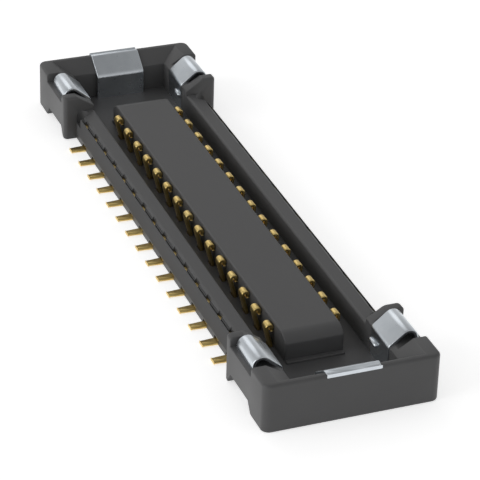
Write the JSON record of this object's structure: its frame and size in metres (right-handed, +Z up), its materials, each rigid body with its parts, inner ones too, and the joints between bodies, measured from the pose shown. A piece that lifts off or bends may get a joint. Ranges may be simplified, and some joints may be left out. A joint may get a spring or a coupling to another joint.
{
  "type": "board-to-board connector receptacle",
  "caption": "Low-profile board-to-board receptacle: dark moulded housing, a centre island between rows of gilt spring contacts, and a stamped metal fitting at each end.",
  "frame": {"origin": "middle of the footprint on the board surface, under the housing", "axes": "+X along the contact rows, +Y across them, +Z up from the board towards the mating side"},
  "size_m": [0.0076, 0.002, 0.0006],
  "materials": {
    "housing_plastic": "fine moulded matt, heat-resistant liquid-crystal polymer",
    "fitting_metal": "satin tin-plated copper alloy, soft rolled grain",
    "contact_gold": "gold-plated copper alloy, smooth"
  },
  "bodies": {
    "root": {"housing": "housing_plastic", "end_fitting_near": "fitting_metal", "end_fitting_far": "fitting_metal", "contact_left_01": "contact_gold", "contact_left_02": "contact_gold", "contact_left_03": "contact_gold", "contact_left_04": "contact_gold", "contact_left_05": "contact_gold", "contact_left_06": "contact_gold", "contact_left_07": "contact_gold", "contact_left_08": "contact_gold", "contact_left_09": "contact_gold", "contact_left_10": "contact_gold", "contact_left_11": "contact_gold", "contact_left_12": "contact_gold", "contact_left_13": "contact_gold", "contact_left_14": "contact_gold", "contact_left_15": "contact_gold", "contact_right_01": "contact_gold", "contact_right_02": "contact_gold", "contact_right_03": "contact_gold", "contact_right_04": "contact_gold", "contact_right_05": "contact_gold", "contact_right_06": "contact_gold", "contact_right_07": "contact_gold", "contact_right_08": "contact_gold", "contact_right_09": "contact_gold", "contact_right_10": "contact_gold", "contact_right_11": "contact_gold", "contact_right_12": "contact_gold", "contact_right_13": "contact_gold", "contact_right_14": "contact_gold", "contact_right_15": "contact_gold"}
  },
  "joints": []
}
